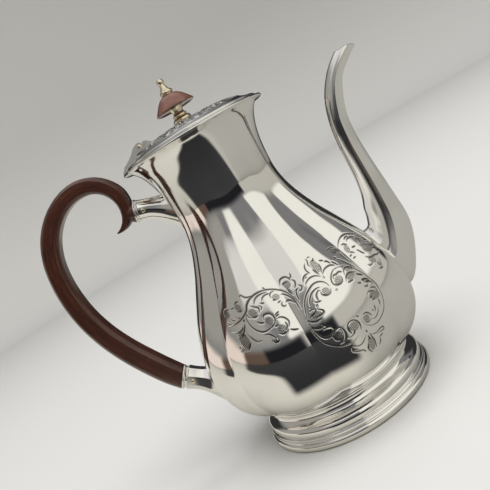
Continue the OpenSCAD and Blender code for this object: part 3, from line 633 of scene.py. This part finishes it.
def build_body():
    coarse, fine, share = band_angles()
    n, m = len(coarse), len(fine)
    verts, recess, faces, rings = [], [], [], []

    def add(points, dark=None):
        start = sum(len(v) for v in verts)
        verts.append(points)
        recess.append(np.zeros(len(points)) if dark is None else dark)
        return start

    def add_ring(row, thin=0.0):
        rings.append(add(ring_points(row, coarse, thin)) + np.arange(n))

    def join(low, top):
        """Fills between two rings. One may be cut finer than the other."""
        if len(low) == len(top):
            faces.extend((low[j], low[(j + 1) % n], top[(j + 1) % n], top[j]) for j in range(n))
            return
        rough, close = (low, top) if len(low) == n else (top, low)
        at = 0
        for j in range(n):
            faces.append([rough[j], *[close[(at + k) % m] for k in range(share[j] + 1)], rough[(j + 1) % n]])
            at += share[j]

    for s in np.linspace(OUTLINE_S[0], BAND[0], LOW_ROWS, endpoint=False):
        add_ring(body_row(s))
    first = sum(len(v) for v in verts)
    points, dark, band, low_ring, top_ring = chased_band(fine, first)
    add(points, dark)
    faces += band
    rings += [low_ring, top_ring]
    for s in np.linspace(BAND[1], OUTLINE_S[-1], TOP_ROWS)[1:]:
        add_ring(body_row(s))
    outer = len(rings)
    for z in np.linspace(BODY_TOP - 0.01, FLOOR_TOP + FLOOR_CURVE, INSIDE_ROWS):
        add_ring(row_at(z), WALL)
    edge = row_at(FLOOR_TOP + FLOOR_CURVE)
    add_ring([FLOOR_TOP + 0.5, edge[1] - 1.7, edge[2], 0], WALL)
    add_ring([FLOOR_TOP, edge[1] - 3.4, edge[2], 0], WALL)
    for i in range(len(rings) - 1):
        if rings[i] is not low_ring:
            join(rings[i], rings[i + 1])
    under, floor = add(np.array([[0, 0, FOOT_TOP]])), add(np.array([[0, 0, FLOOR_TOP]]))
    faces += [(under, (j + 1) % n, j) for j in range(n)]
    faces += [(floor, rings[-1][j], rings[-1][(j + 1) % n]) for j in range(n)]
    faces = [[int(k) for k in face] for face in faces]
    # The layer passed here holds the painted shade of the chased band, and nothing elsewhere.
    piece = add_piece("pot_body", np.vstack(verts), faces, CHASED, "pot", ["body"], 35,
                      recess=np.concatenate(recess))
    piece.data.materials.append(INNER)
    inside = [int(min(p.vertices) >= rings[outer][0] and under not in p.vertices) for p in piece.data.polygons]
    piece.data.polygons.foreach_set("material_index", inside)


# ---------- Spout ----------

SPOUT_HALF = [[[1, 0], [0.91, 0.34], [0.68, 0.66], [0.36, 0.87], [0, 1]],
    [[0, 1], [-0.26, 0.84], [-0.54, 0.84]],
    [[-0.54, 0.84], [-0.8, 0.58], [-0.95, 0.3], [-1, 0]]]
PLAIN_HALF = [[[1, 0], [0.95, 0.36], [0.76, 0.7], [0.42, 0.93], [0, 1]],
    [[0, 1], [-0.28, 0.96], [-0.54, 0.84]],
    [[-0.54, 0.84], [-0.8, 0.6], [-0.95, 0.32], [-1, 0]]]


FLUTE_FADE = (130, 182)  # the heights between which the flutes run out
BEAK_FROM = 40  # the ring after which the spout may be cut off for its beak


def whole_section(runs, k=6):
    """A half section of smooth runs that meet at ridges, closed by its mirror image."""
    half = [smooth(runs[0], k)[0]]
    for run in runs:
        half += list(smooth(run, k)[1:])
    half = np.array(half)
    return np.vstack([half, half[-2:0:-1] * [1, -1]])


def beak_height(x):
    return np.interp(x, [p[0] for p in BEAK], [p[1] for p in BEAK])


def build_spout():
    path = smooth(SPOUT_PATH, 14)
    fluted, plain = whole_section(SPOUT_HALF), whole_section(PLAIN_HALF)
    rings = []
    for v in path:
        t = ease((v[1] - FLUTE_FADE[0]) / (FLUTE_FADE[1] - FLUTE_FADE[0]))
        rings.append(ring(v, fluted * (1 - t) + plain * t))
    rings = np.array(rings)
    centre = path[:, [0, 1]]
    mid = np.stack([centre[:, 0], np.zeros(len(path)), centre[:, 1]], 1)[:, None]
    out = rings - mid
    size = np.linalg.norm(out, axis=2, keepdims=True)
    inside = mid + out * np.clip(1 - SPOUT_WALL / np.maximum(size, 1e-6), 0.05, 1)
    shells = []
    for shell in (rings, inside):
        above = shell[:, :, 2] - beak_height(shell[:, :, 0])
        columns = []
        for j in range(shell.shape[1]):
            over = np.flatnonzero(above[BEAK_FROM:, j] > 0)
            i = (over[0] + BEAK_FROM) if len(over) else len(path) - 1
            f = above[i - 1, j] / (above[i - 1, j] - above[i, j]) if len(over) else 1.0
            at = (i - 1) + float(np.clip(f, 0, 1))
            t = np.linspace(0, at, len(path))
            low = np.clip(np.floor(t).astype(int), 0, len(path) - 2)
            w = (t - low)[:, None]
            columns.append(shell[low, j] * (1 - w) + shell[low + 1, j] * w)
        shells.append(np.stack(columns, 1))
    outer, inner = shells
    lip = (outer[-1] + inner[-1]) / 2
    lip[:, 2] += 0.25
    tube = np.concatenate([outer, lip[None], inner[::-1]])
    verts, faces = skin(np.concatenate([tube, tube[:1]]), False, False)
    n = tube.shape[1]
    verts = verts[: len(tube) * n]
    faces = [tuple(i % len(verts) for i in f) for f in faces]
    verts = out_of_body(verts, sink=0.5, below=120)
    return add_piece("spout_shell", verts, faces, SPOUT_SILVER, "pot", ["spout"], 24)


# ---------- Turned pieces ----------

def build_turned():
    def piece(name, outline, material=SILVER, body="pot", lift=0.0, **layers):
        verts, faces = turned([[r, z + lift] for r, z in outline])
        add_piece(name, verts, faces, material, body, [name.removesuffix("_turn")], 40, **layers)

    top = BODY_OUTLINE[-1][1]
    bead = [RIM_R - 0.75, RIM_TOP - 0.75]
    piece("rim_flange_turn", [
        [top - WALL, BODY_TOP], [top, BODY_TOP], [46.4, BODY_TOP + 0.1], [47.8, BODY_TOP + 0.3],
        *arc(bead, 0.75, -90, 90, 14), [48.6, RIM_TOP - 0.15], [top - 0.6, RIM_TOP - 0.1]])
    t = FOOT_WALL
    foot = [[47, FOOT_TOP], [52.4, FOOT_TOP], *arc([52.4, FOOT_TOP - 1.5], 1.5, 80, -60, 12),
            *smooth([[50.7, FOOT_TOP - 3.1], [49.9, 20.4], [50, 18.6], [50.9, 16.9], [52.8, 15.3],
                     [54.2, 14.5]], 7),
            *smooth([[54.5, 14.3], [55.7, 13.2], [56.3, 11.4], [56.2, 9.4], [55.8, 8.6]], 6),
            [56, 8.45], [56.6, 8.3], [56.9, 7.9], [56.9, 7.5], [56.5, 7.1], [56.6, 6.95], [57.1, 6.7],
            [57.3, 6.3], [57.3, 6], [57.1, 5.6], [54.9, 5.6], [56.2 - t, 9.4], [55.7 - t, 12.6],
            [54.2 - t, 14.5 - t], [52.6 - t, 15.3 - t], [50.7 - t, 17 - 0.6 * t], [49.8 - t, 19.4],
            [50.4 - t, 22.6], [47, 22.6]]
    piece("foot_turn", foot)
    wire = [[54.9, 5.6], [57, 5.6], *[[56.4 + 2.4 * math.cos(a), 2.8 + 2.6 * math.sin(a)]
            for a in np.radians(np.linspace(72, -72, 17))], [56.4, 0], [54.9, 0], [54.4, 0.5], [54.4, 5.1]]
    piece("foot_wire_turn", wire)

    base = [[1.25, 0], [4.9, 0], [5.15, 0.2], [5.1, 0.6], [4.7, 0.9], [4.3, 1.1],
            *smooth([[4.9, 1.5], [5.9, 2.4], [6.05, 3.4], [5.4, 4.6], [4.4, 5.2]], 6),
            [4.1, 5.5], [4.4, 5.65], [4.7, 6], [4.72, 6.4], [4.5, 6.8], [3.9, 7.1],
            *smooth([[3.6, 7.6], [3.5, 8.6], [3.8, 9.8], [4.2, 10.8]], 6), [4.4, 11.2], [4.4, 11.7],
            [1.25, 11.7]]
    piece("finial_base_turn", base, WARM, "lid", lift=DOME_TOP)
    tip = [[1.25, 0], [3.5, 0], [3.75, 0.2], [3.7, 0.5],
           *smooth([[4.2, 0.8], [4.4, 1.4], [4, 2.4], [2.9, 3.5], [2.2, 5], [1.7, 6.4], [1.5, 7.1]], 6),
           *smooth([[2, 7.5], [2.35, 8.7], [1.8, 10.1], [0.9, 10.9], [0, 11.1]], 7), [0, 3.4], [1.25, 3.4]]
    piece("finial_tip_turn", tip, WARM, "lid", lift=DOME_TOP + 20.6)
    cap = [[1.25, 0], [11.6, 0], [12.3, -0.55], [12.8, -0.7],
           *smooth([[13.3, -0.4], [12.9, 0.5], [10.9, 3.1], [8.5, 5.9], [6.1, 7.9], [3.7, 8.9]], 8),
           [1.25, 8.9]]
    cap_at = DOME_TOP + 11.7
    grain, _ = turned([[r, z + cap_at] for r, z in cap])
    piece("finial_cap_turn", cap, CAP_WOOD, "lid", lift=cap_at, grain=grain)

    for name, join, direction, (length, r), eight in (
            ("upper_collar", UPPER_JOIN, UPPER_DIR, UPPER_COLLAR, 0.0),
            ("lower_collar", LOWER_JOIN, LOWER_DIR, LOWER_COLLAR, 0.6)):
        neck = r - 1
        outline = [[4.8, 0], [neck, 0], *arc([neck, 0.6], 0.6, -90, 90, 10), [neck, 1.4],
                   *arc([r - 0.7, length - 0.75], 0.75, -60, 90, 12), [4.8, length]]
        verts, faces = turned(outline, 128)
        verts = np.array(verts)
        a = np.arctan2(verts[:, 1], verts[:, 0])
        flat = np.abs(((a / (math.pi / 4)) % 1) - 0.5) * 2
        verts[:, :2] *= (1 - eight * 0.07 * (1 - flat ** 2))[:, None]
        add_piece(name + "_turn", along(verts, join, direction), faces, SILVER, "pot", [name], 40)


# ---------- Lid ----------

def dome_z(r):
    return DOME_TOP - LID_RISE * (np.asarray(r) / LID_R) ** 4


def build_lid():
    segments = 360
    radii = np.r_[np.linspace(1.25, 14, 16), np.linspace(14.5, 42.5, 62), np.linspace(43, DOME_EDGE_R, 5)]
    a = np.linspace(0, 2 * math.pi, segments, endpoint=False)
    repeat = 12
    wedge = (a % (2 * math.pi / repeat)) - math.pi / repeat
    rows, deep = [], []
    for r in radii:
        flat = np.c_[wedge * 30, np.full(segments, r)]
        height, chased_shade = chased(flat, LID_CUTS, LID_PADS, depth=0.3, lift=0.6)
        fade = ease((r - 16) / 3) * ease((40 - r) / 3)
        line = -0.2 * (np.exp(-((r - 41) / 0.35) ** 2) + np.exp(-((r - 16) / 0.35) ** 2))
        z = dome_z(r) + height * fade + line
        rows.append(np.c_[r * np.cos(a), r * np.sin(a), z])
        # Painted shade in the chased work and in the two turned grooves.
        deep.append(chased_shade * fade - line * 2)
    under = [np.c_[r * np.cos(a), r * np.sin(a), np.full(segments, z)]
             for r, z in [(DOME_EDGE_R, 201.3), (43.4, 201.3)]
             + [(r, float(dome_z(r)) - LID_WALL) for r in np.linspace(43, 1.25, 24)]]
    tube = np.array(rows + under + rows[:1])
    verts, faces = skin(tube, False, False)
    count = (len(tube) - 1) * segments
    faces = [tuple(i % count for i in f) for f in faces]
    recess = np.concatenate(deep + [np.zeros(segments * len(under))])
    lid = add_piece("lid_dome", verts[:count], faces, CHASED, "lid", ["lid"], 35, recess=recess)
    cut_plane(lid, (LID_BACK_X, 0, 0), (-1, 0, 0))

    edge = [[DOME_EDGE_R, EDGE_Z - 0.4], *arc([LID_R - 0.2, EDGE_Z], 0.8, -140, 140, 18),
            [DOME_EDGE_R, EDGE_Z + 0.4]]
    bezel = [[39.7, 197], [40, 196.7], [40.8, 196.7], [40.8, 200.7], [DOME_EDGE_R, 200.7], [DOME_EDGE_R, 201.3],
             [39.7, 201.3]]
    for name, outline in (("lid_edge", edge), ("lid_bezel", bezel)):
        verts, faces = turned(outline, 240)
        piece = add_piece(name + "_turn", verts, faces, SILVER, "lid", [name], 40)
        cut_plane(piece, (LID_BACK_X, 0, 0), (-1, 0, 0))

    dome = [[r, float(dome_z(r))] for r in np.linspace(34, DOME_EDGE_R, 14)]
    rear = dome + arc([LID_R - 0.2, EDGE_Z], 0.8, 120, -60, 14) + [
        [LID_R - 0.6, RIM_TOP], [43.6, RIM_TOP], [43.6, 201.3], [43, 201.3]] + [
        [r, float(dome_z(r)) - LID_WALL] for r in np.linspace(42.8, 34, 10)]
    for side, name in ((1, "left"), (-1, "right")):
        verts, faces = turned(rear, 240)
        piece = add_piece("rear_segment_" + name, verts, faces, SILVER, "pot", ["rear_segment"], 40)
        cut_plane(piece, (FIXED_FRONT_X, 0, 0), (1, 0, 0))
        cut_plane(piece, (0, side * HINGE_HALF, 0), (0, -side, 0))


# ---------- Handle ----------

def build_sockets():
    steps = 96
    a = np.linspace(0, 2 * math.pi, steps, endpoint=False)
    flat = np.abs(((a / (math.pi / 4)) % 1) - 0.5) * 2
    circle = np.c_[np.cos(a), np.sin(a)]
    side = math.cos(math.pi / 8) * 1.03  # from the middle to a flat of the eight-sided section
    eight = circle * (1 / np.cos(math.pi / 8 * (1 - flat)) * side)[:, None]
    for name, path, section in (("upper_socket", UPPER_SOCKET, circle), ("lower_socket", LOWER_SOCKET, eight)):
        rings = [ring(v, section) for v in smooth(path, 10)]
        verts, faces = skin(rings)
        add_piece(name + "_loft", out_of_body(verts, sink=0.6), faces, SILVER, "pot", [name], 40)


def rounded_quarter(corner=0.12, steps=5):
    """A quarter of the grip's section: flat faces, broad chamfers, softened edges."""
    points = [np.array(p) for p in ([1.0, 0.0], [1.0, 0.6], [0.66, 1.0], [0.0, 1.0])]
    out = [points[0]]
    for i in (1, 2):
        before, here, after = points[i - 1], points[i], points[i + 1]
        p = here + (before - here) / np.linalg.norm(before - here) * corner
        q = here + (after - here) / np.linalg.norm(after - here) * corner
        for t in np.linspace(0, 1, steps):
            out.append((1 - t) ** 2 * p + 2 * t * (1 - t) * here + t * t * q)
    out.append(points[3])
    return np.array(out)


def build_grip():
    q = rounded_quarter()
    section = np.vstack([q, q[-2::-1] * [-1, 1], q[1:] * [-1, -1], q[-2:0:-1] * [1, -1]])
    face = step_out(LOWER_JOIN, LOWER_DIR, LOWER_COLLAR[0])
    rows = [list(v) for v in GRIP_PATH]
    rows[0][:2] = face
    path = smooth(rows, 10)
    path[:, 4] *= GRIP_W
    rings = np.array([ring(v, section) for v in path])
    verts, faces = skin(rings)
    way = lengths(path[:, :2])
    grain = [[s, 9 + p[0] * v[3], p[1] * v[4]] for s, v in zip(way, path) for p in section]
    grain += [[way[0], 9, 0], [way[-1], 9, 0]]
    add_piece("grip", verts, faces, WOOD, "pot", ["handle_grip"], 50, grain=grain)

    seat = [[0, -9], [4.6, -9], [4.6, 0], [7, 0], [6.9, 0.8], [5.6, 4.4], [0, 4.4]]
    verts, faces = turned(seat, 96)
    grain = np.array(verts)[:, [2, 0, 1]] + [220, 9, 0]
    at = step_out(UPPER_JOIN, UPPER_DIR, UPPER_COLLAR[0])
    add_piece("grip_seat", along(verts, at, UPPER_DIR), faces, WOOD, "pot", [], 40, grain=grain)


def pin_heads():
    """Domed heads on the ends of the pins that show."""
    places = [("upper", step_out(UPPER_JOIN, UPPER_DIR, -3.4), 6.95, 1.5),
              ("lower", step_out(LOWER_JOIN, LOWER_DIR, -3.6), 7.4, 1.5), ("hinge", [-30.9, 210.5], 10.1, 1.35)]
    for name, at, y, r in places:
        for side in (-1, 1):
            dome = [[0, -0.5], [r, -0.5], [r, 0.1], [r * 0.85, 0.45], [r * 0.5, 0.72], [0, 0.8]]
            verts, faces = turned(dome, 48)
            v = np.array(verts)
            verts = np.c_[at[0] + v[:, 0], side * (y + v[:, 2]), at[1] + v[:, 1]]
            add_piece(f"{name}_pin_head_{'front' if side < 0 else 'back'}", verts, faces, WARM, "pot",
                      [], 50)


def keep_nodes():
    """CAD nodes that show as they are, with the right metal, and softened edges on the hinge parts."""
    finish = {"hinge_bracket": SATIN, "hinge_leaf": SATIN, "hinge_pin": WARM, "upper_handle_pin": WARM,
              "lower_handle_pin": WARM, "finial_rod": WARM, "finial_washer": WARM, "finial_nut": WARM}
    for name, material in finish.items():
        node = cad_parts[name]
        node.data.materials.clear()
        node.data.materials.append(material)
        if name.startswith("hinge_"):
            weld = node.modifiers.new("weld", "WELD")
            weld.merge_threshold = 0.00001
            edge = node.modifiers.new("edge", "BEVEL")
            edge.width = 0.00022
            edge.segments = 2
            edge.limit_method = "ANGLE"
            edge.angle_limit = math.radians(35)
            edge.harden_normals = True


# ---------- Studio ----------

def plain_material(name, colour, roughness):
    material, _, shader = new_material(name)
    shader.inputs["Base Color"].default_value = (*colour, 1)
    shader.inputs["Roughness"].default_value = roughness
    return material


def stage_piece(name, verts, faces, material):
    mesh = bpy.data.meshes.new(name)
    mesh.from_pydata(verts, [], faces)
    mesh.shade_smooth()
    mesh.materials.append(material)
    piece = bpy.data.objects.new(name, mesh)
    bpy.context.scene.collection.objects.link(piece)
    return piece


def lamp_panel(name, at, size, power, target=(0, 0, 0.1)):
    """A soft lamp that lights the set and doesn't show in the silver."""
    lamp = bpy.data.lights.new(name, "AREA")
    lamp.size = size
    lamp.energy = power
    box = bpy.data.objects.new(name, lamp)
    box.location = at
    box.rotation_euler = (Vector(target) - Vector(at)).to_track_quat("-Z", "Y").to_euler()
    box.visible_glossy = False
    bpy.context.scene.collection.objects.link(box)


def math_node(tree, operation, *values):
    node = tree.nodes.new("ShaderNodeMath")
    node.operation = operation
    for socket, value in zip(node.inputs, values):
        if isinstance(value, (int, float)):
            socket.default_value = value
        else:
            tree.links.new(value, socket)
    return node.outputs["Value"]


def step_node(tree, value, low, high):
    """Rises smoothly from 0 to 1 as a value goes from low to high."""
    node = tree.nodes.new("ShaderNodeMapRange")
    node.interpolation_type = "SMOOTHSTEP"
    node.inputs["From Min"].default_value = min(low, high)
    node.inputs["From Max"].default_value = max(low, high)
    node.inputs["To Min"].default_value = 0.0 if low < high else 1.0
    node.inputs["To Max"].default_value = 1.0 if low < high else 0.0
    tree.links.new(value, node.inputs["Value"])
    return node.outputs["Result"]


def bearing(tree, vector):
    """Degrees round Z from -Y towards +X, the vector's own height, and its length across the floor."""
    split = tree.nodes.new("ShaderNodeSeparateXYZ")
    tree.links.new(vector, split.inputs["Vector"])
    x, y, z = (split.outputs[k] for k in "XYZ")
    turn = math_node(tree, "ARCTAN2", x, math_node(tree, "MULTIPLY", y, -1.0))
    squares = [math_node(tree, "MULTIPLY", v, v) for v in (x, y)]
    flat = math_node(tree, "SQRT", math_node(tree, "ADD", *squares))
    return math_node(tree, "MULTIPLY", turn, 180 / math.pi), z, flat


def light_room(world):
    """The room round the pot: soft panels of light and shade, each an area of bearing and elevation."""
    world.use_nodes = True
    tree = world.node_tree
    where = tree.nodes.new("ShaderNodeTexCoord")
    turn, z, _ = bearing(tree, where.outputs["Generated"])
    rise = math_node(tree, "MULTIPLY", math_node(tree, "ARCSINE", z), 180 / math.pi)
    # Bearings from and to, elevations from and to, softness of the edges, colour
    panels = [
        (-200, 200, 50, 120, 12, (0.75, 0.75, 0.75)),
        (-128, -20, 14, 58, 16, (0.33, 0.32, 0.295)),
        (-60, 6, 38, 62, 10, (0.7, 0.69, 0.67)),
        (2, 96, 12, 64, 6, (0.88, 0.87, 0.81)),
        (16, 118, -40, 12, 6, (0.5, 0.485, 0.44)),
        (118, 180, -8, 30, 10, (0.03, 0.03, 0.032)),
        (-180, -132, -8, 30, 10, (0.03, 0.03, 0.032)),
        (-132, -84, -40, 9, 6, (0.8, 0.69, 0.62)),
        (-88, -42, -40, 9, 8, (0.12, 0.08, 0.06)),
        (-46, 15, -40, 10, 8, (0.014, 0.014, 0.017)),
    ]
    tone = (0.2, 0.2, 0.2)  # where there is no panel
    for a0, a1, e0, e1, soft, colour in panels:
        mask = None
        for value, low, high in ((turn, a0 - soft / 2, a0 + soft / 2), (turn, a1 + soft / 2, a1 - soft / 2),
                                 (rise, e0 - soft / 2, e0 + soft / 2), (rise, e1 + soft / 2, e1 - soft / 2)):
            edge = step_node(tree, value, low, high)
            mask = edge if mask is None else math_node(tree, "MULTIPLY", mask, edge)
        tone = mix(tree, mask, tone, colour)
    tree.links.new(tone, tree.nodes["Background"].inputs["Color"])


def reflected_floor():
    """The floor as the silver sees it: cream to the left, greyer to the right, and shaded low in front."""
    material, tree, shader = new_material("reflected floor")
    shader.inputs["Roughness"].default_value = 0.9
    where = tree.nodes.new("ShaderNodeTexCoord")
    turn, _, away = bearing(tree, where.outputs["Object"])
    tone = mix(tree, step_node(tree, turn, 0, 40), (0.6, 0.585, 0.53), (0.36, 0.355, 0.33))
    spread = math_node(tree, "MULTIPLY", step_node(tree, away, 0.08, 0.9), 60.0)
    mask = step_node(tree, away, 0.09, 0.12)
    for value, low, high in ((math_node(tree, "ADD", turn, spread), -34, -24), (turn, 24, 16)):
        mask = math_node(tree, "MULTIPLY", mask, step_node(tree, value, low, high))
    tree.links.new(mix(tree, mask, tone, (0.014, 0.014, 0.017)), shader.inputs["Base Color"])
    sheet = stage_piece("reflected_floor", [(-3, -3, 0.0002), (3, -3, 0.0002), (3, 3, 0.0002), (-3, 3, 0.0002)],
                        [(0, 1, 2, 3)], material)
    sheet.visible_camera = False
    sheet.visible_diffuse = False
    sheet.visible_shadow = False


def build_studio():
    pale = plain_material("studio floor", (0.72, 0.715, 0.7), 0.85)
    segments, reach, bend = 96, 2.4, 0.9
    turns = np.linspace(0, 2 * math.pi, segments, endpoint=False)
    disc = [(0, 0, 0)] + [(reach * math.cos(a), reach * math.sin(a), 0) for a in turns]
    floor = stage_piece("floor", disc, [(0, i + 1, (i + 1) % segments + 1) for i in range(segments)], pale)
    profile = [(reach + bend * math.sin(t), bend - bend * math.cos(t)) for t in np.linspace(0, math.pi / 2, 17)]
    profile.append((reach + bend, 3.5))
    verts = [(r * math.cos(a), r * math.sin(a), z) for r, z in profile for a in turns]
    faces = [(i * segments + j, i * segments + (j + 1) % segments, (i + 1) * segments + (j + 1) % segments,
              (i + 1) * segments + j) for i in range(len(profile) - 1) for j in range(segments)]
    backdrop = stage_piece("backdrop", verts, faces, pale)
    backdrop.visible_glossy = False
    backdrop.visible_diffuse = False
    backdrop.visible_shadow = False
    floor.visible_glossy = False
    reflected_floor()
    lamp_panel("overhead", at=(0.3, -0.3, 2.2), size=2.0, power=40)
    world = bpy.data.worlds.new("light room")
    bpy.context.scene.world = world
    light_room(world)


def build_camera():
    """The camera, held at the reference view's angle, rolled as the pot is tipped in it."""
    tip = 31  # degrees that the pot leans over to the left in the reference view
    yaw, pitch, roll = math.radians(-4.1912), math.radians(-7.4912), math.radians(-0.5479 - tip)
    ahead = Vector((math.sin(yaw) * math.cos(pitch), math.cos(yaw) * math.cos(pitch), math.sin(pitch)))
    level = Vector((math.cos(yaw), -math.sin(yaw), 0))
    up0 = level.cross(ahead)
    right = level * math.cos(roll) + up0 * math.sin(roll)
    up = -level * math.sin(roll) + up0 * math.cos(roll)
    camera = bpy.data.objects.new("camera", bpy.data.cameras.new("camera"))
    camera.data.lens = 43.0
    camera.data.sensor_width = 36.0
    camera.data.clip_start = 0.01
    place = Matrix.Identity(4)
    for i, column in enumerate((right, up, -ahead)):
        for k in range(3):
            place[k][i] = column[k]
    place.translation = Vector((19.66, -375.2, 172.65)) * MM
    camera.matrix_world = place
    bpy.context.scene.collection.objects.link(camera)
    bpy.context.scene.camera = camera


build_body()
build_spout()
build_turned()
build_lid()
build_sockets()
build_grip()
pin_heads()
keep_nodes()
build_studio()
build_camera()
bpy.context.scene.view_settings.view_transform = "Standard"
